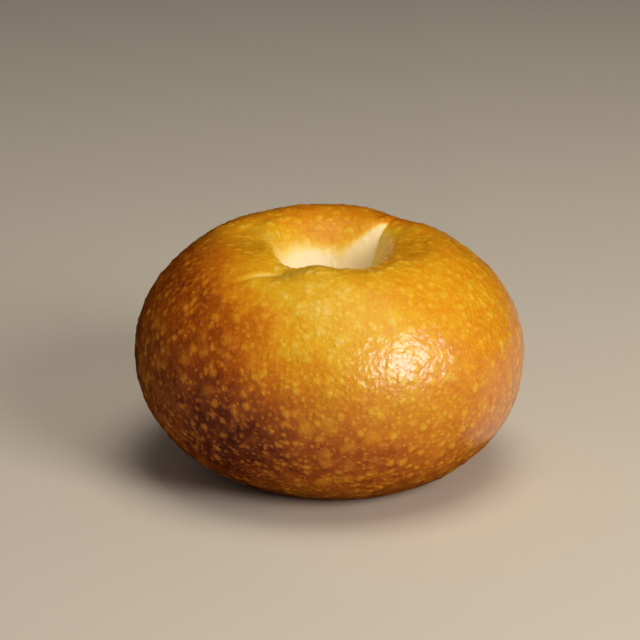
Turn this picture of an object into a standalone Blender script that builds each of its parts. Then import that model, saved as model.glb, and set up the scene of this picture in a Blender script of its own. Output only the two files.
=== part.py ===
"""A plump plain bagel, as one solid ring of dough.

The ring has puffed up in the oven until its eye is a narrow oval neck, with a
wide crater above it and a small pinch below it. A seam, where the two ends of
the rolled dough were joined, runs outwards from the crater over the crown.
Metres, +Z up, resting on Z = 0 with its middle over the origin.
"""

import math

import bpy
from mathutils import Vector

NAME = "bagel"

# Driving dimensions of the ring, in metres.
HALF_WIDTH = 0.0510        # middle to side crust, along X
HALF_DEPTH = 0.0502        # middle to front or back crust, along Y
WAIST_HEIGHT = 0.0330      # height at which the ring is widest
CROWN_RISE = 0.0362        # dome above the waist, before the crater is pressed in
CROWN_FULLNESS = 2.08      # power of the crown's outline: 2 is an ellipse, more is fuller
BACK_RISE = 0.0012         # how much higher the back of the ring is than its sides
BELLY_DROP = 0.0381        # dome below the waist, before the base is flattened
BELLY_FULLNESS = 2.10      # the same power for the belly
LEAN = -0.022              # how far the ring leans along X for each metre of height

# The eye: an oval neck, with a crater over it and a pinch under it.
NECK_HALF_WIDTH = 0.0102
NECK_HALF_DEPTH = 0.0046
NECK_SHIFT = 0.0016        # how far the neck lies to the right of the middle
CRATER_RIM = 0.0358        # radius at which the crater starts to dip
CRATER_RIM_SWING = 0.0020  # how much nearer the middle that is at the back
CRATER_POWER = 2.2         # how late its walls turn steep
LEFT_SHELF = (-0.0102, -0.0168)   # X at which the crater's shallow left end starts and is full
RIGHT_SHELF = (0.0112, 0.0178)    # the same for its right end
SHELF_DIP = 0.23           # share of the dome that those ends dip by
SHELF_POWER = 1.2          # how late they turn down
PINCH_RIM = 0.0160         # radius at which the pinch in the underside starts
PINCH_POWER = 1.8          # how late its walls turn steep
BASE_BLEND = 0.0008        # how softly the crust turns into the flat base

# The seam in the ring: a straight crease, with the back lobe's wall on one side of it
# and the front lobe's slope on the other. A shallow trough carries it over the crown.
SEAM_FOOT = (0.0099, 0.0051)
SEAM_HEADING = math.radians(60.0)
SEAM_DEPTH = 0.0060
SEAM_WALL_WIDTH = 0.0120   # width of the wall at the foot
SEAM_WALL_TIP = 0.0016     # width it narrows to
SEAM_WALL_LENGTH = 0.0120  # how far along the line it narrows
SEAM_SLOPE_WIDTH = 0.0095
SEAM_CRISPNESS = 1.3       # power of the crease's section: 1 is a plain V
SEAM_PEAK = 0.0010         # how far from its foot the crease is deepest
SEAM_FADE = 0.0090         # how soon it fades towards both ends
TROUGH_AT = 0.0230         # how far from the foot the trough is deepest
TROUGH_DEPTH = 0.0015
TROUGH_WIDTH = 0.0085
TROUGH_LENGTH = 0.0120

# How far the ring is from an even oval: (lobes around, swell, turn).
LOBES = ((2, 0.0004, 0.6), (3, 0.0006, 2.1), (5, 0.0003, 0.4))

RING_STEPS = 60
SECTION_STEPS = 26

CRUST_COLOUR = (0.60, 0.27, 0.045, 1.0)
CRUST_ROUGHNESS = 0.42


def clear_scene():
    """Remove whatever objects the scene holds."""
    for obj in list(bpy.data.objects):
        bpy.data.objects.remove(obj, do_unlink=True)


def make_crust():
    """The baked crust as a plain finish."""
    crust = bpy.data.materials.new("crust")
    crust.use_nodes = True
    shader = crust.node_tree.nodes["Principled BSDF"]
    shader.inputs["Base Color"].default_value = CRUST_COLOUR
    shader.inputs["Roughness"].default_value = CRUST_ROUGHNESS
    shader.inputs["Metallic"].default_value = 0.0
    return crust


def oval_radius(angle, half_x, half_y):
    """Distance from the middle to an oval's edge in one direction."""
    return 1.0 / math.hypot(math.cos(angle) / half_x, math.sin(angle) / half_y)


def outer_radius(angle):
    """Distance from the middle to the ring's outer crust, with its lobes."""
    swell = sum(size * math.cos(count * angle + turn) for count, size, turn in LOBES)
    return oval_radius(angle, HALF_WIDTH, HALF_DEPTH) + swell


def dip(radius, rim, neck, power):
    """How much of the dome is left at a radius: all at the rim, none at the neck."""
    reach = (rim - radius) / (rim - neck)
    reach = min(max(reach, 0.0), 1.0)
    return math.sqrt(1.0 - reach**power)


def smooth(value, start, end):
    """Rise smoothly from 0 at the start to 1 at the end, which may be the lower of the two."""
    share = (value - start) / (end - start)
    share = min(max(share, 0.0), 1.0)
    return share * share * (3.0 - 2.0 * share)


def crater_left(x, radius, rim, neck):
    """How much of the dome the crater leaves, with a shallow shelf at its left and right."""
    left = dip(radius, rim, neck, CRATER_POWER)
    reach = min(max((rim - radius) / (rim - neck), 0.0), 1.0)
    shelf = 1.0 - SHELF_DIP * reach**SHELF_POWER
    on_shelf = smooth(x, *LEFT_SHELF) + smooth(x, *RIGHT_SHELF)
    return left + max(shelf - left, 0.0) * on_shelf


def dome_height(reach, fullness):
    """Height of a dome of height 1 at a share of its radius."""
    return max(1.0 - min(reach, 1.0) ** fullness, 0.0) ** (1.0 / fullness)


def seam_drop(x, y):
    """How far the seam lowers the crown at one place."""
    heading_x = math.cos(SEAM_HEADING)
    heading_y = math.sin(SEAM_HEADING)
    from_foot_x = x - SEAM_FOOT[0]
    from_foot_y = y - SEAM_FOOT[1]
    along = from_foot_x * heading_x + from_foot_y * heading_y
    across = from_foot_y * heading_x - from_foot_x * heading_y
    width = SEAM_SLOPE_WIDTH
    if across > 0.0:
        narrowing = min(max(1.0 - along / SEAM_WALL_LENGTH, 0.0), 1.0)
        width = SEAM_WALL_TIP + (SEAM_WALL_WIDTH - SEAM_WALL_TIP) * narrowing
    crease = max(1.0 - abs(across) / width, 0.0) ** SEAM_CRISPNESS
    crease *= math.exp(-(((along - SEAM_PEAK) / SEAM_FADE) ** 2))
    trough = ((along - TROUGH_AT) / TROUGH_LENGTH) ** 2 + (across / TROUGH_WIDTH) ** 2
    return SEAM_DEPTH * crease + TROUGH_DEPTH * math.exp(-trough)


def flatten_base(height):
    """Heights below the base become flat, with a soft turn just above it."""
    if height <= -BASE_BLEND:
        return 0.0
    if height >= BASE_BLEND:
        return height
    return (height + BASE_BLEND) ** 2 / (4.0 * BASE_BLEND)


def dough_point(angle, section):
    """A point on the crust.

    The angle goes round the ring. The section angle goes round the dough: 0 at
    the outer waist, a quarter turn at the crown and half a turn in the neck.
    """
    outer = outer_radius(angle)
    neck = oval_radius(angle, NECK_HALF_WIDTH, NECK_HALF_DEPTH) + NECK_SHIFT * math.cos(angle)
    radius = (outer + neck) / 2.0 + (outer - neck) / 2.0 * math.cos(section)
    x = radius * math.cos(angle)
    y = radius * math.sin(angle)
    if math.sin(section) >= 0.0:
        rim = CRATER_RIM - CRATER_RIM_SWING * math.sin(angle)
        rise = CROWN_RISE + BACK_RISE * math.sin(angle)
        left = crater_left(x, radius, rim, neck)
        height = WAIST_HEIGHT + rise * dome_height(radius / outer, CROWN_FULLNESS) * left
        height -= seam_drop(x, y) * math.sin(section)
    else:
        left = dip(radius, PINCH_RIM, neck, PINCH_POWER)
        height = WAIST_HEIGHT - BELLY_DROP * dome_height(radius / outer, BELLY_FULLNESS) * left
    height = flatten_base(height)
    return Vector((x + LEAN * (height - WAIST_HEIGHT), y, height))


def centre_over_origin(mesh):
    """Move the mesh so that its box is centred on the Z axis and stands on Z = 0."""
    for axis in range(3):
        values = [vertex.co[axis] for vertex in mesh.vertices]
        low = min(values)
        shift = low if axis == 2 else (low + max(values)) / 2.0
        for vertex in mesh.vertices:
            vertex.co[axis] -= shift


def make_bagel(crust):
    """The ring of dough: a torus, each point of which moves to its place on the crust."""
    ring_radius = (HALF_WIDTH + NECK_HALF_WIDTH) / 2.0
    dough_radius = (HALF_WIDTH - NECK_HALF_WIDTH) / 2.0
    bpy.ops.mesh.primitive_torus_add(
        major_segments=RING_STEPS,
        minor_segments=SECTION_STEPS,
        major_radius=ring_radius,
        minor_radius=dough_radius,
    )
    bagel = bpy.context.object
    bagel.name = NAME
    bagel.data.name = NAME
    for vertex in bagel.data.vertices:
        x, y, z = vertex.co
        angle = math.atan2(y, x)
        section = math.atan2(z, math.hypot(x, y) - ring_radius)
        vertex.co = dough_point(angle, section)
    centre_over_origin(bagel.data)
    bagel.data.materials.append(crust)
    bagel.data.shade_smooth()
    return bagel


def main():
    """Build the bagel in a collection of its own."""
    clear_scene()
    collection = bpy.data.collections.new(NAME)
    bpy.context.scene.collection.children.link(collection)
    bagel = make_bagel(make_crust())
    for holder in list(bagel.users_collection):
        holder.objects.unlink(bagel)
    collection.objects.link(bagel)


main()
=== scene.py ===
"""A plump plain bagel, finely modelled and dressed, on a pale studio floor.

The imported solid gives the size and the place. A ring of dough with its crater,
seam and blistered crust stands in for the solid's plain skin.
"""

import logging
import math
from dataclasses import dataclass, field
from enum import Enum
from typing import ClassVar

import bpy
import numpy as np
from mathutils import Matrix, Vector


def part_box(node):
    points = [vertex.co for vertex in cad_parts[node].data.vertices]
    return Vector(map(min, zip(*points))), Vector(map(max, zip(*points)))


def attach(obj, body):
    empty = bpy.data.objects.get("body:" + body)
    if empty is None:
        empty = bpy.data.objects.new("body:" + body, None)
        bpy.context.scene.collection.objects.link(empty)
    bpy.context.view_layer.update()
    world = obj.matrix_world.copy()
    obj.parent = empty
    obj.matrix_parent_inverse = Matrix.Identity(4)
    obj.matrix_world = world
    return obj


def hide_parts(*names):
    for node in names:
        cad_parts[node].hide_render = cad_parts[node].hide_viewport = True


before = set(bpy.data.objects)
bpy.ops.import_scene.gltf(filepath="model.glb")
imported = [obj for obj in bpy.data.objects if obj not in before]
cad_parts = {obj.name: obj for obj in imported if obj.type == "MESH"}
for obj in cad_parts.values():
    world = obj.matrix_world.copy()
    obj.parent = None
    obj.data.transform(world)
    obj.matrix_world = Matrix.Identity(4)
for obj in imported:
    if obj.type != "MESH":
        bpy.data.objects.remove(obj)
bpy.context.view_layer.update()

MM = 0.001
NOISE_MIDDLE = 0.5         # a noise swings about this value, and so does each colour of it

# The curve that turns a screen value into a linear one: a short straight toe, then a power.
SCREEN_FULL = 255.0
SCREEN_TOE = 0.04045
SCREEN_TOE_SLOPE = 12.92
SCREEN_OFFSET = 0.055
SCREEN_SCALE = 1.055
SCREEN_POWER = 2.4

# Sockets of a Mix node that mixes colours, which share their names with others.
MIX_SHARE = 0
MIX_FIRST = 6
MIX_SECOND = 7
MIX_RESULT = 2

ScreenColour = tuple[int, int, int]
Place = tuple[float, float, float]
Pair = tuple[float, float]                 # two lengths, or where a fade starts and ends
Ramp = tuple[float, float, float, float]   # from low, from high, result at low, result at high
Socket = bpy.types.NodeSocket
Tree = bpy.types.NodeTree
log = logging.getLogger("bagel")


class TreeKind(Enum):
    """The two kinds of node tree that use the blisters, each with its kind of group node."""

    LOOKS = ("ShaderNodeTree", "ShaderNodeGroup")
    RELIEF = ("GeometryNodeTree", "GeometryNodeGroup")

    @property
    def tree_type(self) -> str:
        """The tree's type name."""
        return self.value[0]

    @property
    def holder_type(self) -> str:
        """The type name of the node that holds a group in such a tree."""
        return self.value[1]


def linear(red: int, green: int, blue: int) -> tuple[float, float, float, float]:
    """Turn a screen colour into the linear colour that a shader takes.

    Args:
        red: Red, 0 to 255.
        green: Green, 0 to 255.
        blue: Blue, 0 to 255.

    Returns:
        The linear colour with an alpha of 1.
    """
    channels = []
    for value in (red / SCREEN_FULL, green / SCREEN_FULL, blue / SCREEN_FULL):
        if value <= SCREEN_TOE:
            channels.append(value / SCREEN_TOE_SLOPE)
        else:
            channels.append(((value + SCREEN_OFFSET) / SCREEN_SCALE) ** SCREEN_POWER)
    return (channels[0], channels[1], channels[2], 1.0)


def smooth(value: np.ndarray, start: float, end: float) -> np.ndarray:
    """Rise smoothly from 0 at the start to 1 at the end, which may be the lower of the two."""
    share = np.clip((value - start) / (end - start), 0.0, 1.0)
    return share * share * (3.0 - 2.0 * share)


@dataclass(frozen=True)
class Grain:
    """A soft noise: the size of its features in metres, and how fine and rough it is."""

    size: float
    detail: float = 2.0
    roughness: float = 0.5


@dataclass
class Nodes:
    """A short way to add nodes to one tree and link them."""

    tree: Tree

    def add(self, kind: str, **settings: object) -> bpy.types.Node:
        """Add a node and set its properties.

        Args:
            kind: The node's type name.
            **settings: Property values, by name.

        Returns:
            The new node.
        """
        node = self.tree.nodes.new(kind)
        for name, value in settings.items():
            setattr(node, name, value)
        return node

    def feed(self, socket: Socket, value: object) -> None:
        """Link another socket to this one, or set its plain value.

        Args:
            socket: The input to feed.
            value: An output socket, or a number, vector or colour.
        """
        if isinstance(value, bpy.types.NodeSocket):
            self.tree.links.new(value, socket)
        else:
            socket.default_value = value

    def math(self, operation: str, *values: object, clamp: bool = False) -> Socket:
        """Add a Math node.

        Args:
            operation: The operation's name.
            *values: Its one to three inputs.
            clamp: Whether the result is kept between 0 and 1.

        Returns:
            The node's output.
        """
        node = self.add("ShaderNodeMath", operation=operation, use_clamp=clamp)
        for socket, value in zip(node.inputs, values):
            self.feed(socket, value)
        return node.outputs[0]

    def vector(self, operation: str, first: object, second: object) -> Socket:
        """Add a Vector Math node with two vectors.

        Args:
            operation: The operation's name.
            first: The first vector.
            second: The second vector.

        Returns:
            The vector that it makes.
        """
        node = self.add("ShaderNodeVectorMath", operation=operation)
        self.feed(node.inputs[0], first)
        self.feed(node.inputs[1], second)
        return node.outputs[0]

    def scaled(self, vector: object, scale: object) -> Socket:
        """Scale a vector by a number.

        Args:
            vector: The vector.
            scale: The number.

        Returns:
            The scaled vector.
        """
        node = self.add("ShaderNodeVectorMath", operation="SCALE")
        self.feed(node.inputs[0], vector)
        self.feed(node.inputs["Scale"], scale)
        return node.outputs[0]

    def remap(self, value: Socket, low: object, high: object, start: float, end: float) -> Socket:
        """Map one range of a value smoothly onto another.

        Args:
            value: The value to map.
            low: Where the source range starts.
            high: Where the source range ends.
            start: The result at its start.
            end: The result at its end.

        Returns:
            The mapped value.
        """
        node = self.add("ShaderNodeMapRange", interpolation_type="SMOOTHSTEP")
        ends = (("From Min", low), ("From Max", high), ("To Min", start), ("To Max", end))
        for name, item in ends:
            self.feed(node.inputs[name], item)
        self.feed(node.inputs["Value"], value)
        return node.outputs[0]

    def noise(self, vector: Socket, grain: Grain) -> bpy.types.Node:
        """Add a Noise Texture.

        Args:
            vector: Where it is read.
            grain: Its size and kind.

        Returns:
            The texture node.
        """
        node = self.add("ShaderNodeTexNoise")
        self.feed(node.inputs["Vector"], vector)
        node.inputs["Scale"].default_value = 1.0 / grain.size
        node.inputs["Detail"].default_value = grain.detail
        node.inputs["Roughness"].default_value = grain.roughness
        return node

    def swing(self, noise: Socket) -> Socket:
        """Shift a noise so that it swings about 0."""
        return self.math("SUBTRACT", noise, NOISE_MIDDLE)

    def sway(self, vector: Socket, grain: Grain, reach: float) -> Socket:
        """Shift a place to and fro by a noise.

        Args:
            vector: The place.
            grain: The noise.
            reach: How far it shifts the place, in metres.

        Returns:
            The shifted place.
        """
        drift = self.noise(vector, grain).outputs["Color"]
        drift = self.vector("SUBTRACT", drift, (NOISE_MIDDLE, NOISE_MIDDLE, NOISE_MIDDLE))
        return self.vector("ADD", vector, self.scaled(drift, reach))

    def height_of(self, place: Socket) -> Socket:
        """Split a place and return its height."""
        split = self.add("ShaderNodeSeparateXYZ")
        self.feed(split.inputs[0], place)
        return split.outputs["Z"]

    def blend(self, share: Socket, first: object, second: object) -> Socket:
        """Mix two colours.

        Args:
            share: The second colour's share.
            first: The first colour.
            second: The second colour.

        Returns:
            The mixed colour.
        """
        node = self.add("ShaderNodeMix", data_type="RGBA")
        self.feed(node.inputs[MIX_SHARE], share)
        self.feed(node.inputs[MIX_FIRST], first)
        self.feed(node.inputs[MIX_SECOND], second)
        return node.outputs[MIX_RESULT]


@dataclass(frozen=True)
class BlisterField:
    """Roundish blisters scattered over the crust, in metres."""

    name: str
    cell: float                # one blister stands in each cell of about this width
    largest: float             # radius of the largest blister
    softness: float            # share of the radius over which its edge fades
    wobble: float              # how far the outlines stray from round
    wobble_size: float = 0.6   # size of that straying, as a share of the cell
    smallest: float = 0.15     # radius of the smallest blister, as a share of the cell

    def group(self, kind: TreeKind) -> Tree:
        """Make the pattern as a node group, with a Vector input and a Mask output.

        Args:
            kind: The kind of tree that will hold the group.

        Returns:
            The node group.
        """
        tree = bpy.data.node_groups.new(f"{self.name}_{kind.name.lower()}", kind.tree_type)
        tree.interface.new_socket("Vector", in_out="INPUT", socket_type="NodeSocketVector")
        tree.interface.new_socket("Mask", in_out="OUTPUT", socket_type="NodeSocketFloat")
        nodes = Nodes(tree)
        inside = nodes.add("NodeGroupInput")
        outside = nodes.add("NodeGroupOutput")
        wavy = Grain(self.cell * self.wobble_size, detail=1.0)
        cells = nodes.add("ShaderNodeTexVoronoi", feature="F1")
        nodes.feed(cells.inputs["Vector"], nodes.sway(inside.outputs["Vector"], wavy, self.wobble))
        cells.inputs["Scale"].default_value = 1.0 / self.cell
        pick = nodes.add("ShaderNodeSeparateXYZ")
        nodes.feed(pick.inputs[0], cells.outputs["Color"])
        reach = nodes.remap(pick.outputs[0], 0.0, 1.0, self.smallest, self.largest / self.cell)
        inner = nodes.math("MULTIPLY", reach, 1.0 - self.softness)
        mask = nodes.remap(cells.outputs["Distance"], inner, reach, 1.0, 0.0)
        nodes.feed(outside.inputs["Mask"], mask)
        return tree

    def place(self, nodes: Nodes, kind: TreeKind, vector: Socket) -> Socket:
        """Place the group in a tree.

        Args:
            nodes: The tree's nodes.
            kind: The kind of that tree.
            vector: Where the pattern is read.

        Returns:
            The blisters' mask, 1 on a blister and 0 between them.
        """
        holder = nodes.add(kind.holder_type, node_tree=self.group(kind))
        nodes.feed(holder.inputs["Vector"], vector)
        return holder.outputs["Mask"]


SMALL_BLISTERS = BlisterField(
    "small_blisters", cell=1.45 * MM, largest=0.98 * MM, softness=0.7, wobble=0.6 * MM
)
LARGE_BLISTERS = BlisterField(
    "large_blisters", cell=2.6 * MM, largest=1.68 * MM, softness=0.72, wobble=1.4 * MM
)
PALE_PATCHES = BlisterField(
    "pale_patches", cell=6.0 * MM, largest=3.4 * MM, softness=0.85, wobble=3.5 * MM
)


@dataclass(frozen=True)
class CrustFinish:
    """Baked crust: a brown that deepens with the bake, pale blisters and a soft sheen."""

    slot: str = "crust"

    # The sheen. Sheltered dough is rougher and has little of the crust's coat.
    roughness: float = 0.42
    shelter_roughness: float = 0.25
    specular: float = 0.50
    coat_by_shelter: Ramp = (0.0, 0.8, 0.90, 0.12)
    coat_roughness: float = 0.25

    # Mottling: how much each noise adds to the bake, and how much more where it is browner.
    broad: Grain = Grain(22 * MM, detail=2.0)
    broad_weight: float = 0.22
    mottle: Grain = Grain(5 * MM, detail=3.0, roughness=0.6)
    mottle_by_bake: Ramp = (0.20, 0.60, 0.22, 0.38)
    grain: Grain = Grain(1.1 * MM, detail=2.0)
    grain_weight: float = 0.16
    palest_crust: float = 0.17

    # Blisters: how strongly each kind shows, how far they lift the bake and how much tan
    # they carry, both by the bake. They are calmer towards the crown.
    small_share: float = 0.62
    patch_share: float = 0.6
    lift_by_bake: Ramp = (0.20, 0.60, 0.11, 0.26)
    tan_by_bake: Ramp = (0.24, 0.50, 0.0, 0.24)
    spots_by_height: Ramp = (28 * MM, 56 * MM, 1.0, 0.68)
    blister_tan: ScreenColour = (232, 164, 54)
    bake_colours: tuple[tuple[float, ScreenColour], ...] = (
        (0.00, (252, 238, 196)),
        (0.10, (247, 220, 124)),
        (0.22, (241, 190, 34)),
        (0.34, (234, 160, 10)),
        (0.50, (218, 127, 3)),
        (0.66, (184, 90, 1)),
        (0.84, (124, 47, 1)),
        (1.00, (70, 22, 1)),
    )

    # Fine wrinkles of the skin, which fade towards the crown and on sheltered dough.
    wrinkle_cell: float = 1.3 * MM
    wrinkle_sway: Grain = Grain(1.4 * MM, detail=1.0)
    wrinkle_reach: float = 1.4 * MM
    wrinkle_grain: float = 0.5
    blister_rise: float = 0.35
    wrinkle_depth: float = 0.20 * MM
    wrinkles_by_height: Ramp = (48 * MM, 59 * MM, 1.0, 0.45)
    open_wrinkles: float = 0.6
    least_wrinkles: float = 0.4

    def material(self) -> bpy.types.Material:
        """Make the crust's material.

        Returns:
            The material, which reads the attributes bake and shelter.
        """
        made = bpy.data.materials.new("baked_crust")
        made.use_nodes = True
        nodes = Nodes(made.node_tree)
        shader = made.node_tree.nodes["Principled BSDF"]
        shader.inputs["Specular IOR Level"].default_value = self.specular
        shader.inputs["Coat Roughness"].default_value = self.coat_roughness
        place = nodes.add("ShaderNodeTexCoord").outputs["Object"]
        # The shelter also holds the painted highlight along the fold.
        shelter = nodes.add("ShaderNodeAttribute", attribute_name="shelter").outputs["Fac"]
        open_crust = nodes.math("SUBTRACT", 1.0, shelter, clamp=True)
        rough = nodes.math("MULTIPLY_ADD", shelter, self.shelter_roughness, self.roughness)
        nodes.feed(shader.inputs["Roughness"], rough)
        nodes.feed(shader.inputs["Coat Weight"], nodes.remap(shelter, *self.coat_by_shelter))
        small = SMALL_BLISTERS.place(nodes, TreeKind.LOOKS, place)
        grain = nodes.noise(place, self.grain).outputs[0]
        nodes.feed(shader.inputs["Base Color"], self.colour(nodes, place, open_crust, small, grain))
        self.wrinkle(nodes, place, open_crust, small, grain, shader)
        return made

    def colour(
        self, nodes: Nodes, place: Socket, open_crust: Socket, small: Socket, grain: Socket
    ) -> Socket:
        """Colour the crust by its bake, its mottling and its blisters.

        Args:
            nodes: The material's nodes.
            place: The place on the crust.
            open_crust: How open to the heat it lay, less along the fold's painted highlight.
            small: The small blisters' mask.
            grain: The finest noise.

        Returns:
            The colour.
        """
        # The bake also holds some painted shade low at the left.
        bake = nodes.add("ShaderNodeAttribute", attribute_name="bake").outputs["Fac"]
        large = LARGE_BLISTERS.place(nodes, TreeKind.LOOKS, place)
        patches = PALE_PATCHES.place(nodes, TreeKind.LOOKS, place)
        broad = nodes.swing(nodes.noise(place, self.broad).outputs[0])
        mottle = nodes.swing(nodes.noise(place, self.mottle).outputs[0])

        brown = nodes.math("MULTIPLY_ADD", broad, self.broad_weight, bake)
        mottle_weight = nodes.remap(bake, *self.mottle_by_bake)
        brown = nodes.math("MULTIPLY_ADD", mottle, mottle_weight, brown)
        brown = nodes.math("MULTIPLY_ADD", nodes.swing(grain), self.grain_weight, brown)

        spots = nodes.math("MAXIMUM", nodes.math("MULTIPLY", small, self.small_share), large)
        spots = nodes.math("MAXIMUM", spots, nodes.math("MULTIPLY", patches, self.patch_share))
        calm = nodes.remap(nodes.height_of(place), *self.spots_by_height)
        lift = nodes.math("MULTIPLY", nodes.remap(bake, *self.lift_by_bake), calm)
        brown = nodes.math("SUBTRACT", brown, nodes.math("MULTIPLY", spots, lift))
        brown = nodes.math("MAXIMUM", brown, self.palest_crust)
        # Sheltered dough stays pale, and so does the fold's painted highlight.
        brown = nodes.math("MULTIPLY", brown, open_crust, clamp=True)
        ramp = nodes.add("ShaderNodeValToRGB")
        nodes.feed(ramp.inputs["Fac"], brown)
        self.fill_ramp(ramp.color_ramp)

        tan = nodes.math("MULTIPLY", spots, nodes.remap(bake, *self.tan_by_bake))
        tan = nodes.math("MULTIPLY", tan, calm)
        tan = nodes.math("MULTIPLY", tan, open_crust)
        return nodes.blend(tan, ramp.outputs["Color"], linear(*self.blister_tan))

    def wrinkle(
        self,
        nodes: Nodes,
        place: Socket,
        open_crust: Socket,
        small: Socket,
        grain: Socket,
        shader: bpy.types.Node,
    ) -> None:
        """Wrinkle the crust and the coat over it, and raise the small blisters under the coat.

        Args:
            nodes: The material's nodes.
            place: The place on the crust.
            open_crust: How open to the heat it lay, less along the fold's painted highlight.
            small: The small blisters' mask.
            grain: The finest noise.
            shader: The crust's shader.
        """
        peel = nodes.add("ShaderNodeTexVoronoi", feature="SMOOTH_F1")
        swayed = nodes.sway(place, self.wrinkle_sway, self.wrinkle_reach)
        nodes.feed(peel.inputs["Vector"], swayed)
        peel.inputs["Scale"].default_value = 1.0 / self.wrinkle_cell
        wrinkle = nodes.math("SUBTRACT", 1.0, peel.outputs["Distance"])
        wrinkle = nodes.math("MULTIPLY_ADD", grain, self.wrinkle_grain, wrinkle)
        height = nodes.math("MULTIPLY_ADD", small, self.blister_rise, wrinkle)
        strength = nodes.math("MULTIPLY_ADD", open_crust, self.open_wrinkles, self.least_wrinkles)
        calm = nodes.remap(nodes.height_of(place), *self.wrinkles_by_height)
        strength = nodes.math("MULTIPLY", strength, calm)
        for side, rise in (("Normal", height), ("Coat Normal", wrinkle)):
            bump = nodes.add("ShaderNodeBump")
            nodes.feed(bump.inputs["Strength"], strength)
            bump.inputs["Distance"].default_value = self.wrinkle_depth
            nodes.feed(bump.inputs["Height"], rise)
            nodes.feed(shader.inputs[side], bump.outputs["Normal"])

    def fill_ramp(self, ramp: bpy.types.ColorRamp) -> None:
        """Set the ramp's stops to the colours of the bake, from pale to dark.

        Args:
            ramp: The ramp.
        """
        while len(ramp.elements) < len(self.bake_colours):
            ramp.elements.new(0.5)
        for element, (position, colour) in zip(ramp.elements, self.bake_colours):
            element.position = position
            element.color = linear(*colour)


@dataclass(frozen=True)
class SeamLine:
    """The straight crease where the two ends of the rolled dough were joined, in metres."""

    foot: Pair = (0.0099, 0.0051)
    heading: float = math.radians(60.0)
    depth: float = 0.0060
    wall_width: float = 0.0120     # of the back lobe's wall, at the foot
    wall_tip: float = 0.0016       # the width that it narrows to
    wall_length: float = 0.0120    # how far along the line it narrows
    slope_width: float = 0.0095    # of the front lobe's slope
    crispness: float = 1.3         # power of the crease's section: 1 is a plain V
    peak: float = 0.0010           # how far from the foot the crease is deepest
    fade: float = 0.0090           # how soon it fades towards both ends
    trough_at: float = 0.0230      # how far from the foot the trough is deepest
    trough_depth: float = 0.0015
    trough_width: float = 0.0085
    trough_length: float = 0.0120

    def along(self, x: np.ndarray, y: np.ndarray) -> np.ndarray:
        """Distance along the line from its foot."""
        run = (x - self.foot[0]) * math.cos(self.heading)
        return run + (y - self.foot[1]) * math.sin(self.heading)

    def across(self, x: np.ndarray, y: np.ndarray) -> np.ndarray:
        """Distance from the line, positive towards the back lobe."""
        run = (y - self.foot[1]) * math.cos(self.heading)
        return run - (x - self.foot[0]) * math.sin(self.heading)

    def wall(self, along: np.ndarray) -> np.ndarray:
        """Width of the back lobe's wall beside the line, which narrows to a tip."""
        left = np.clip(1.0 - along / self.wall_length, 0.0, 1.0)
        return self.wall_tip + (self.wall_width - self.wall_tip) * left

    def drop(self, x: np.ndarray, y: np.ndarray) -> np.ndarray:
        """How far the seam lowers the crown.

        Args:
            x: Places from left to right.
            y: Places from front to back.

        Returns:
            The drop at each place.
        """
        across = self.across(x, y)
        along = self.along(x, y)
        width = np.where(across > 0.0, self.wall(along), self.slope_width)
        crease = np.clip(1.0 - np.abs(across) / width, 0.0, 1.0) ** self.crispness
        crease = crease * np.exp(-(((along - self.peak) / self.fade) ** 2))
        trough = ((along - self.trough_at) / self.trough_length) ** 2
        trough = trough + (across / self.trough_width) ** 2
        return self.depth * crease + self.trough_depth * np.exp(-trough)


@dataclass(frozen=True)
class FoldLine:
    """The shallow curved fold at the crater's left, in metres."""

    start: Pair = (-0.0130, -0.0215)
    heading: float = math.radians(198.0)
    length: float = 0.0125
    depth: float = 0.0005
    width: float = 0.0009
    bow: float = 0.0010            # how far its middle bows from a straight line
    middle: float = 0.42           # where it is deepest, as a share of its length
    spread: float = 0.62           # how far it reaches to both sides of that

    def mark(self, x: np.ndarray, y: np.ndarray) -> np.ndarray:
        """How strongly the fold marks each place.

        Args:
            x: Places from left to right.
            y: Places from front to back.

        Returns:
            A number from 0 to 1 for each place.
        """
        run_x = x - self.start[0]
        run_y = y - self.start[1]
        along = run_x * math.cos(self.heading) + run_y * math.sin(self.heading)
        across = run_y * math.cos(self.heading) - run_x * math.sin(self.heading)
        bow = across - self.bow * np.sin(np.clip(along / self.length, 0.0, 1.0) * math.pi)
        ends = 1.0 - ((along / self.length - self.middle) / self.spread) ** 2
        return np.clip(ends, 0.0, 1.0) * np.exp(-((bow / self.width) ** 2))


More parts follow.
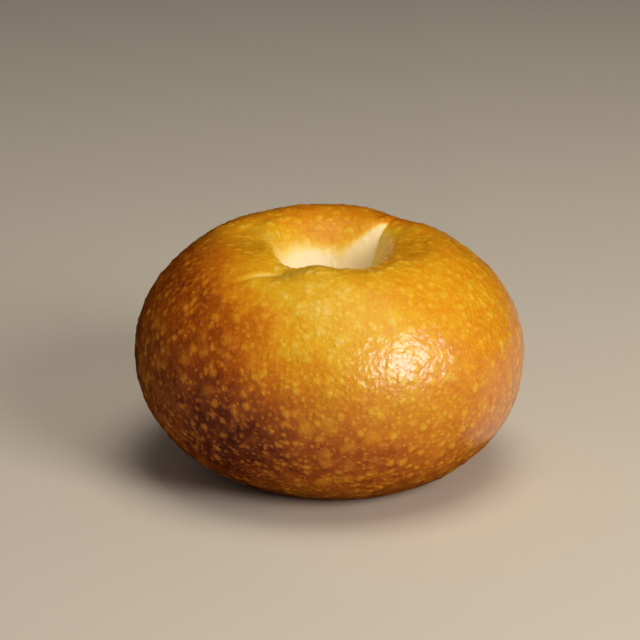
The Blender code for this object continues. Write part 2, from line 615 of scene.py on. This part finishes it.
@dataclass(frozen=True)
class DoughShape:
    """The rule that gives the crust's surface, in metres and radians."""

    # The ring: a fuller crown and a rounder belly, which lean a little.
    half_width: float = 0.0510
    half_depth: float = 0.0502
    waist_height: float = 0.0330
    crown_rise: float = 0.0362
    crown_fullness: float = 2.08
    back_rise: float = 0.0012
    belly_drop: float = 0.0381
    belly_fullness: float = 2.10
    lean: float = -0.022
    base_blend: float = 0.0008
    lobes: tuple[tuple[int, float, float], ...] = (   # how many around, swell and turn
        (2, 0.0004, 0.6),
        (3, 0.0006, 2.1),
        (5, 0.0003, 0.4),
    )

    # The eye: an oval neck, with a crater over it and a pinch under it.
    neck_half_width: float = 0.0102
    neck_shift: float = 0.0016
    neck_half_depth: float = 0.0046
    crater_rim: float = 0.0358
    crater_rim_swing: float = 0.0020
    crater_power: float = 2.2
    left_shelf: Pair = (-0.0102, -0.0168)
    right_shelf: Pair = (0.0112, 0.0178)
    shelf_dip: float = 0.23
    shelf_power: float = 1.2
    pinch_rim: float = 0.0160
    pinch_power: float = 1.8

    # The marks in the crown: the seam, the fold and the waves in the crater's front lip.
    seam: SeamLine = field(default_factory=SeamLine)
    fold: FoldLine = field(default_factory=FoldLine)
    lip_depth: float = -0.0205
    lip_reach: float = 0.0060
    lip_waves: tuple[tuple[float, float, float], ...] = (   # x, rise and width
        (-0.0125, -0.0018, 0.0048),
        (-0.0022, 0.0010, 0.0040),
        (0.0095, -0.0006, 0.0036),
    )

    @staticmethod
    def oval(angle: np.ndarray, half_x: float, half_y: float) -> np.ndarray:
        """Distance from the middle to an oval's edge, for each direction."""
        return 1.0 / np.hypot(np.cos(angle) / half_x, np.sin(angle) / half_y)

    @staticmethod
    def reach(radius: np.ndarray, rim: object, neck: np.ndarray) -> np.ndarray:
        """How far in from a rim each radius is: 0 at the rim, 1 at the neck."""
        return np.clip((rim - radius) / (rim - neck), 0.0, 1.0)

    @staticmethod
    def dome(share: np.ndarray, fullness: float) -> np.ndarray:
        """Height of a dome of height 1 at shares of its radius."""
        left = 1.0 - np.clip(share, 0.0, 1.0) ** fullness
        return np.clip(left, 0.0, None) ** (1.0 / fullness)

    def lip_rise(self, x: np.ndarray, y: np.ndarray) -> np.ndarray:
        """Small waves in the crater's front lip.

        Args:
            x: Places from left to right.
            y: Places from front to back.

        Returns:
            The rise at each place.
        """
        near = np.exp(-(((y - self.lip_depth) / self.lip_reach) ** 2))
        waves = sum(
            rise * np.exp(-(((x - at) / width) ** 2)) for at, rise, width in self.lip_waves
        )
        return waves * near

    def flatten(self, height: np.ndarray) -> np.ndarray:
        """Make heights below the base flat, with a soft turn just above it.

        Args:
            height: The heights.

        Returns:
            The heights over the flat base.
        """
        blend = self.base_blend
        soft = (height + blend) ** 2 / (4.0 * blend)
        return np.where(height <= -blend, 0.0, np.where(height >= blend, height, soft))

    def points(self, angle: np.ndarray, section: np.ndarray) -> np.ndarray:
        """Places on the crust.

        Args:
            angle: Angles round the ring.
            section: Angles round the dough, 0 at the outer waist, a quarter turn at the crown.

        Returns:
            The places, one row each.
        """
        outer = self.oval(angle, self.half_width, self.half_depth)
        outer = outer + sum(
            size * np.cos(count * angle + turn) for count, size, turn in self.lobes
        )
        neck = self.oval(angle, self.neck_half_width, self.neck_half_depth)
        neck = neck + self.neck_shift * np.cos(angle)
        radius = (outer + neck) / 2.0 + (outer - neck) / 2.0 * np.cos(section)
        x = radius * np.cos(angle)
        y = radius * np.sin(angle)

        rim = self.crater_rim - self.crater_rim_swing * np.sin(angle)
        rise = self.crown_rise + self.back_rise * np.sin(angle)
        inwards = self.reach(radius, rim, neck)
        left = np.sqrt(1.0 - inwards**self.crater_power)
        shelf = 1.0 - self.shelf_dip * inwards**self.shelf_power
        on_shelf = smooth(x, *self.left_shelf) + smooth(x, *self.right_shelf)
        left = left + np.clip(shelf - left, 0.0, None) * on_shelf
        crown = self.dome(radius / outer, self.crown_fullness)
        top = self.waist_height + rise * crown * left
        marks = self.lip_rise(x, y) - self.seam.drop(x, y)
        marks = marks - self.fold.depth * self.fold.mark(x, y)
        top = top + marks * np.clip(np.sin(section), 0.0, 1.0)

        left = np.sqrt(1.0 - self.reach(radius, self.pinch_rim, neck) ** self.pinch_power)
        belly = self.dome(radius / outer, self.belly_fullness)
        bottom = self.waist_height - self.belly_drop * belly * left
        height = self.flatten(np.where(np.sin(section) >= 0.0, top, bottom))
        return np.stack([x + self.lean * (height - self.waist_height), y, height], axis=1)


@dataclass(frozen=True)
class BakePattern:
    """Where the oven browned the crust, and where the dough lay sheltered and stayed pale.
    It also holds a painted highlight along the fold and some painted shade low at the left.

    A pair is where a fade starts and ends, unless its comment says otherwise. Fades across
    and along the seam, and in x and y, are in metres. A level is a share of the height.
    """

    # The pale crater: an oval above the neck and a smaller one under it.
    crater_middle: Pair = (-0.0010, 0.0005)        # its x and y
    crater_size: Pair = (0.0150, 0.0118)           # half its width and half its depth
    crater_size_under: Pair = (0.0110, 0.0085)     # the same under the neck
    crater_edge: Pair = (1.00, 0.72)               # in shares of that size
    crater_front: Pair = (-0.0100, -0.0020)        # across the seam, on the front lobe's side

    # The pale wall beside the seam, a wedge that narrows along it.
    wall_pale: float = 0.94
    wall_reach: float = 0.0095
    wall_length: float = 0.0128
    wall_taper: float = 1.15
    wall_edge: Pair = (1.20, 0.80)                 # in shares of the wedge's width
    wall_margin: float = 0.0005
    wall_line: Pair = (-0.0002, 0.0002)
    wall_end: Pair = (0.0135, 0.0105)
    seam_start: Pair = (-0.0080, -0.0050)

    # The half-pale slope on the seam's other side, and a painted highlight along the fold at the
    # crater's left.
    slope_pale: float = 0.50
    slope_edge: Pair = (-0.0080, -0.0020)
    slope_line: Pair = (0.0002, -0.0002)
    slope_end: Pair = (0.0130, 0.0070)
    fold_painted_highlight: float = 0.45

    # Golden on the crown, a little right of the middle, and browner away from there. The
    # distance from it counts in shares of the half width sideways, and of the height down.
    golden: float = 0.262
    browning: float = 0.43
    brown_edge: Pair = (0.29, 0.92)
    golden_at: float = 0.20                        # how far right of the middle it lies
    crown_shift: float = 0.16                      # how much further left that is at the top
    crown_levels: Pair = (0.80, 0.97)
    right_edge: Pair = (-0.10, 0.60)
    right_weight: float = 0.5                      # how much distance to the right counts
    below_weight: float = 1.15                     # how much distance downwards counts
    below_right: float = 0.34                      # share by which it counts less at the right

    # A little browner on the back and the right, and a browner patch low at the left,
    # which is partly real browning and partly painted shade on the side away from the key light.
    back_edge: Pair = (0.0070, 0.0220)
    back_tint: float = 0.19
    right_tint: float = 0.11
    patch: float = 0.16
    patch_levels: Pair = (0.72, 0.30)
    patch_edge: Pair = (-0.0010, -0.0210)
    patch_fade: float = 0.80
    patch_far_edge: Pair = (-0.0250, -0.0430)

    # Paler again just above the base.
    foot_levels: Pair = (0.26, 0.10)
    foot_paling: float = 0.10

    def shelter(self, shape: DoughShape, places: np.ndarray, over: np.ndarray) -> np.ndarray:
        """How much the dough was sheltered from the heat, 1 where it stayed pale.
        Along the fold it holds a painted highlight instead.

        Args:
            shape: The shape, for its seam and its fold.
            places: The places on the crust.
            over: Whether each one is above the neck.

        Returns:
            A number from 0 to 1 for each place.
        """
        x, y, _ = places.T
        middle_x, middle_y = self.crater_middle
        half_x, half_y = self.crater_size
        under_x, under_y = self.crater_size_under
        eye = np.hypot((x - middle_x) / half_x, (y - middle_y) / half_y)
        eye_under = np.hypot(x / under_x, y / under_y)
        crater = smooth(np.where(over, eye, eye_under), *self.crater_edge)
        across = shape.seam.across(x, y)
        along = shape.seam.along(x, y)
        crater = np.where(across < 0.0, crater * smooth(across, *self.crater_front), crater)

        narrowing = np.clip(1.0 - along / self.wall_length, 0.0, 1.0)
        width = self.wall_reach * narrowing**self.wall_taper
        outer = self.wall_edge[0] * width + self.wall_margin
        wedge = smooth(across, outer, self.wall_edge[1] * width)
        wedge = wedge * smooth(across, *self.wall_line) * smooth(along, *self.wall_end)
        slope = smooth(across, *self.slope_edge) * smooth(across, *self.slope_line)
        slope = self.slope_pale * slope * smooth(along, *self.slope_end)
        beside = np.maximum(self.wall_pale * wedge, slope) * smooth(along, *self.seam_start)

        # Painted highlight: a pale line along the fold, where light catches its edge.
        fold = self.fold_painted_highlight * shape.fold.mark(x, y)
        return np.maximum(crater, np.where(over, np.maximum(beside, fold), 0.0))

    def bake(self, shape: DoughShape, places: np.ndarray) -> np.ndarray:
        """How brown the crust is before its mottling, from 0 to 1, with some painted shade low at
        the left.

        Args:
            shape: The shape, for its width.
            places: The places on the crust.

        Returns:
            A number for each place.
        """
        x, y, z = places.T
        level = z / z.max()
        side = x / shape.half_width - self.golden_at
        side = side + self.crown_shift * smooth(level, *self.crown_levels)
        right = smooth(side, *self.right_edge)
        side = np.where(side > 0.0, self.right_weight * side, side)
        below = self.below_weight * (1.0 - level) * (1.0 - self.below_right * right)
        brown = smooth(np.hypot(side, below), *self.brown_edge)
        tint = self.back_tint * smooth(y, *self.back_edge) + self.right_tint * right
        # Partly painted shade: browner low at the left, where the light falls off.
        patch = smooth(level, *self.patch_levels) * smooth(x, *self.patch_edge)
        patch = patch * (1.0 - self.patch_fade * smooth(x, *self.patch_far_edge))
        foot = smooth(level, *self.foot_levels)
        baked = self.golden + self.browning * brown + tint * (1.0 - brown)
        return baked + self.patch * patch - self.foot_paling * foot


@dataclass(frozen=True)
class Relief:
    """Lumps, dimples and blisters that stand up in the mesh itself, in metres."""

    lumps: Grain = Grain(20 * MM, detail=1.0)
    lump_rise: float = 1.2 * MM
    dimples: Grain = Grain(5 * MM, detail=2.0)
    dimple_rise: float = 0.20 * MM
    blisters: tuple[tuple[BlisterField, float], ...] = (
        (LARGE_BLISTERS, 0.20 * MM),
        (PALE_PATCHES, 0.12 * MM),
    )
    off_base: Ramp = (0.3 * MM, 4.0 * MM, 0.0, 1.0)   # the flat base stays flat

    def tree(self) -> Tree:
        """Make the node tree that moves each point along its normal.

        Returns:
            The tree.
        """
        tree = bpy.data.node_groups.new("crust_relief", TreeKind.RELIEF.tree_type)
        tree.interface.new_socket("Geometry", in_out="INPUT", socket_type="NodeSocketGeometry")
        tree.interface.new_socket("Geometry", in_out="OUTPUT", socket_type="NodeSocketGeometry")
        nodes = Nodes(tree)
        source = nodes.add("NodeGroupInput")
        result = nodes.add("NodeGroupOutput")
        place = nodes.add("GeometryNodeInputPosition").outputs[0]
        lumps = nodes.swing(nodes.noise(place, self.lumps).outputs[0])
        dimples = nodes.swing(nodes.noise(place, self.dimples).outputs[0])
        height = nodes.math("MULTIPLY", lumps, self.lump_rise)
        height = nodes.math("MULTIPLY_ADD", dimples, self.dimple_rise, height)
        for blisters, rise in self.blisters:
            mask = blisters.place(nodes, TreeKind.RELIEF, place)
            height = nodes.math("MULTIPLY_ADD", mask, rise, height)
        off_base = nodes.remap(nodes.height_of(place), *self.off_base)
        height = nodes.math("MULTIPLY", height, off_base)
        normal = nodes.add("GeometryNodeInputNormal").outputs[0]
        mover = nodes.add("GeometryNodeSetPosition")
        nodes.feed(mover.inputs["Geometry"], source.outputs[0])
        nodes.feed(mover.inputs["Offset"], nodes.scaled(normal, height))
        nodes.feed(result.inputs[0], mover.outputs[0])
        return tree

    def raise_on(self, piece: bpy.types.Object) -> None:
        """Raise the relief on a piece, and apply it to its mesh.

        Args:
            piece: The piece.
        """
        modifier = piece.modifiers.new("relief", "NODES")
        modifier.node_group = self.tree()
        bpy.context.view_layer.objects.active = piece
        bpy.ops.object.modifier_apply(modifier=modifier.name)


@dataclass
class Bagel:
    """The whole baked ring of dough."""

    node: str = "bagel"
    name: str = "bagel_crust"
    ring_steps: int = 200          # before each face is cut in four
    section_steps: int = 124
    shape: DoughShape = field(default_factory=DoughShape)
    pattern: BakePattern = field(default_factory=BakePattern)
    relief: Relief = field(default_factory=Relief)
    finish: CrustFinish = field(default_factory=CrustFinish)

    def build(self) -> bpy.types.Object:
        """Model the dough, dress it and set it in the frame.

        Returns:
            The finished piece.
        """
        piece = self.model_ring()
        self.relief.raise_on(piece)
        piece.data.materials.append(self.finish.material())
        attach(piece, "root")
        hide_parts(self.node)
        return piece

    def model_ring(self) -> bpy.types.Object:
        """Make the ring of dough from a torus, with its bake and shelter attributes.

        Returns:
            The ring, without its relief.
        """
        ring_radius = (self.shape.half_width + self.shape.neck_half_width) / 2.0
        dough_radius = (self.shape.half_width - self.shape.neck_half_width) / 2.0
        bpy.ops.object.select_all(action="DESELECT")
        bpy.ops.mesh.primitive_torus_add(
            major_segments=self.ring_steps,
            minor_segments=self.section_steps,
            major_radius=ring_radius,
            minor_radius=dough_radius,
        )
        piece = bpy.context.object
        piece.name = self.name
        piece.data.name = self.name
        bpy.ops.object.mode_set(mode="EDIT")
        bpy.ops.mesh.select_all(action="SELECT")
        bpy.ops.mesh.subdivide(number_cuts=1)
        bpy.ops.object.mode_set(mode="OBJECT")
        flat = np.empty(len(piece.data.vertices) * 3, np.float32)
        piece.data.vertices.foreach_get("co", flat)
        x, y, z = flat.reshape(-1, 3).astype(np.float64).T
        section = np.arctan2(z, np.hypot(x, y) - ring_radius)
        places = self.centred(self.shape.points(np.arctan2(y, x), section))
        piece.data.vertices.foreach_set("co", places.astype(np.float32).ravel())
        # The shelter also holds the painted highlight along the fold.
        shelter = self.pattern.shelter(self.shape, places, np.sin(section) > 0.0)
        self.store(piece, "shelter", shelter)
        # The bake also holds some painted shade low at the left.
        self.store(piece, "bake", self.pattern.bake(self.shape, places))
        piece.data.update()
        piece.data.shade_smooth()
        return piece

    def centred(self, places: np.ndarray) -> np.ndarray:
        """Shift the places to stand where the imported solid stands.

        Args:
            places: The places on the crust.

        Returns:
            The shifted places.
        """
        low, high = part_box(self.node)
        middle = (places.min(axis=0) + places.max(axis=0)) / 2.0
        middle[2] = places[:, 2].min()
        stand = np.array([(low.x + high.x) / 2.0, (low.y + high.y) / 2.0, low.z])
        return places + (stand - middle)

    @staticmethod
    def store(piece: bpy.types.Object, name: str, values: np.ndarray) -> None:
        """Keep one number for each point of the piece, for its material to read."""
        attribute = piece.data.attributes.new(name, "FLOAT", "POINT")
        attribute.data.foreach_set("value", values.astype(np.float32))


@dataclass(frozen=True)
class Lamp:
    """One soft square lamp that faces the bagel."""

    name: str
    direction: Place             # which way it lies from the bagel
    distance: float
    size: float                  # side of the square
    power: float                 # in watts
    tint: ScreenColour
    lights: bool = True          # whether it lights the crust
    shines: bool = False         # whether it shows in the gloss
    aim: Place = (0.0, 0.0, 0.03)

    def hang(self) -> None:
        """Hang the lamp in the scene."""
        data = bpy.data.lights.new(self.name, "AREA")
        data.shape = "SQUARE"
        data.size = self.size
        data.energy = self.power
        data.color = linear(*self.tint)[:3]
        lamp = bpy.data.objects.new(self.name, data)
        bpy.context.scene.collection.objects.link(lamp)
        towards = Vector(self.direction).normalized()
        lamp.location = Vector(self.aim) + towards * self.distance
        lamp.rotation_euler = towards.to_track_quat("Z", "Y").to_euler()
        lamp.visible_diffuse = self.lights
        lamp.visible_glossy = self.shines


@dataclass
class Studio:
    """A pale floor that sweeps up behind the bagel, soft lamps and the camera.

    Only one lamp and one card show in the gloss, so that the crust's own colour stays
    deep: the glint hangs where the key lamp does, and the card lies at the right.
    """

    # The floor and its wall, and the bend between them.
    floor_half: float = 1.6
    sweep_height: float = 1.6
    bend_width: float = 0.5
    bend_segments: int = 16
    floor_colour: ScreenColour = (216, 211, 204)
    floor_roughness: float = 0.85
    floor_specular: float = 0.2
    card_size: float = 0.9
    card_at: Place = (0.50, 0.42, 0.001)

    # The light.
    key_side: ClassVar[Place] = (0.590, -0.668, 0.455)
    lamps: tuple[Lamp, ...] = (
        Lamp("key", key_side, 0.75, 0.30, 3.3, (255, 243, 224)),
        Lamp("glint", key_side, 0.75, 0.30, 4.0, (220, 236, 252), lights=False, shines=True),
        Lamp("fill", (-0.75, -0.60, 0.45), 1.1, 0.9, 0.10, (255, 236, 214)),
        Lamp("top", (0.12, -0.17, 1.0), 0.9, 0.5, 3.8, (255, 240, 215)),
    )
    room_colour: ScreenColour = (240, 240, 242)
    room_strength: float = 0.10

    # The camera, in front and a little above.
    elevation: float = math.radians(19.0)
    camera_distance: float = 0.62
    lens: float = 131.8
    nearest: float = 0.01
    aim: Place = (-0.00255, 0.0, 0.0403)

    def build(self) -> None:
        """Set up the floor, the light and the camera."""
        finish = self.pale_finish()
        self.floor(finish)
        self.card(finish)
        for lamp in self.lamps:
            lamp.hang()
        self.room()
        self.camera()

    def pale_finish(self) -> bpy.types.Material:
        """Make the floor's plain matt finish.

        Returns:
            The material.
        """
        finish = bpy.data.materials.new("pale_floor")
        finish.use_nodes = True
        shader = finish.node_tree.nodes["Principled BSDF"]
        shader.inputs["Base Color"].default_value = linear(*self.floor_colour)
        shader.inputs["Roughness"].default_value = self.floor_roughness
        shader.inputs["Specular IOR Level"].default_value = self.floor_specular
        return finish

    def floor(self, finish: bpy.types.Material) -> None:
        """Make the floor and backdrop as one sheet, with a wide bend between them.

        Args:
            finish: The sheet's material.
        """
        bpy.ops.object.select_all(action="DESELECT")
        bpy.ops.mesh.primitive_plane_add(size=2.0 * self.floor_half)
        sheet = bpy.context.object
        sheet.name = "studio_floor"
        bpy.ops.object.mode_set(mode="EDIT")
        bpy.ops.mesh.select_all(action="DESELECT")
        bpy.ops.object.mode_set(mode="OBJECT")
        for edge in sheet.data.edges:
            ends = [sheet.data.vertices[index].co for index in edge.vertices]
            edge.select = all(end.y > 0.0 for end in ends)
        bpy.ops.object.mode_set(mode="EDIT")
        bpy.ops.mesh.select_mode(type="EDGE")
        lift = {"value": (0.0, 0.0, self.sweep_height)}
        bpy.ops.mesh.extrude_region_move(TRANSFORM_OT_translate=lift)
        bpy.ops.object.mode_set(mode="OBJECT")
        bend = sheet.modifiers.new("bend", "BEVEL")
        bend.width = self.bend_width
        bend.segments = self.bend_segments
        bend.limit_method = "ANGLE"
        bpy.ops.object.modifier_apply(modifier=bend.name)
        sheet.data.shade_smooth()
        sheet.data.materials.append(finish)
        sheet.visible_glossy = False

    def card(self, finish: bpy.types.Material) -> None:
        """Lay a pale card on the floor at the right, seen only as a sheen along that edge.

        Args:
            finish: The card's material.
        """
        bpy.ops.object.select_all(action="DESELECT")
        bpy.ops.mesh.primitive_plane_add(size=self.card_size, location=self.card_at)
        card = bpy.context.object
        card.name = "reflector_card"
        card.data.materials.append(finish)
        card.visible_camera = False
        card.visible_diffuse = False
        card.visible_shadow = False

    def room(self) -> None:
        """Fill the room with a weak even light, and keep colours as they are."""
        world = bpy.data.worlds.new("studio")
        bpy.context.scene.world = world
        world.use_nodes = True
        background = world.node_tree.nodes["Background"]
        background.inputs["Color"].default_value = linear(*self.room_colour)
        background.inputs["Strength"].default_value = self.room_strength
        world.cycles_visibility.glossy = False
        bpy.context.scene.view_settings.view_transform = "Standard"

    def camera(self) -> None:
        """Place the camera in front, looking down a little."""
        data = bpy.data.cameras.new("camera")
        data.lens = self.lens
        data.clip_start = self.nearest
        camera = bpy.data.objects.new("camera", data)
        bpy.context.scene.collection.objects.link(camera)
        back = Vector((0.0, -math.cos(self.elevation), math.sin(self.elevation)))
        camera.location = Vector(self.aim) + back * self.camera_distance
        camera.rotation_euler = (math.pi / 2.0 - self.elevation, 0.0, 0.0)
        bpy.context.scene.camera = camera


def main() -> None:
    """Build the bagel and the studio, and report each piece."""
    logging.basicConfig(level=logging.INFO, format="%(name)s: %(message)s")
    piece = Bagel().build()
    log.info("%s has %d faces", piece.name, len(piece.data.polygons))
    Studio().build()
    log.info("studio is ready")


if __name__ == "__main__":
    main()
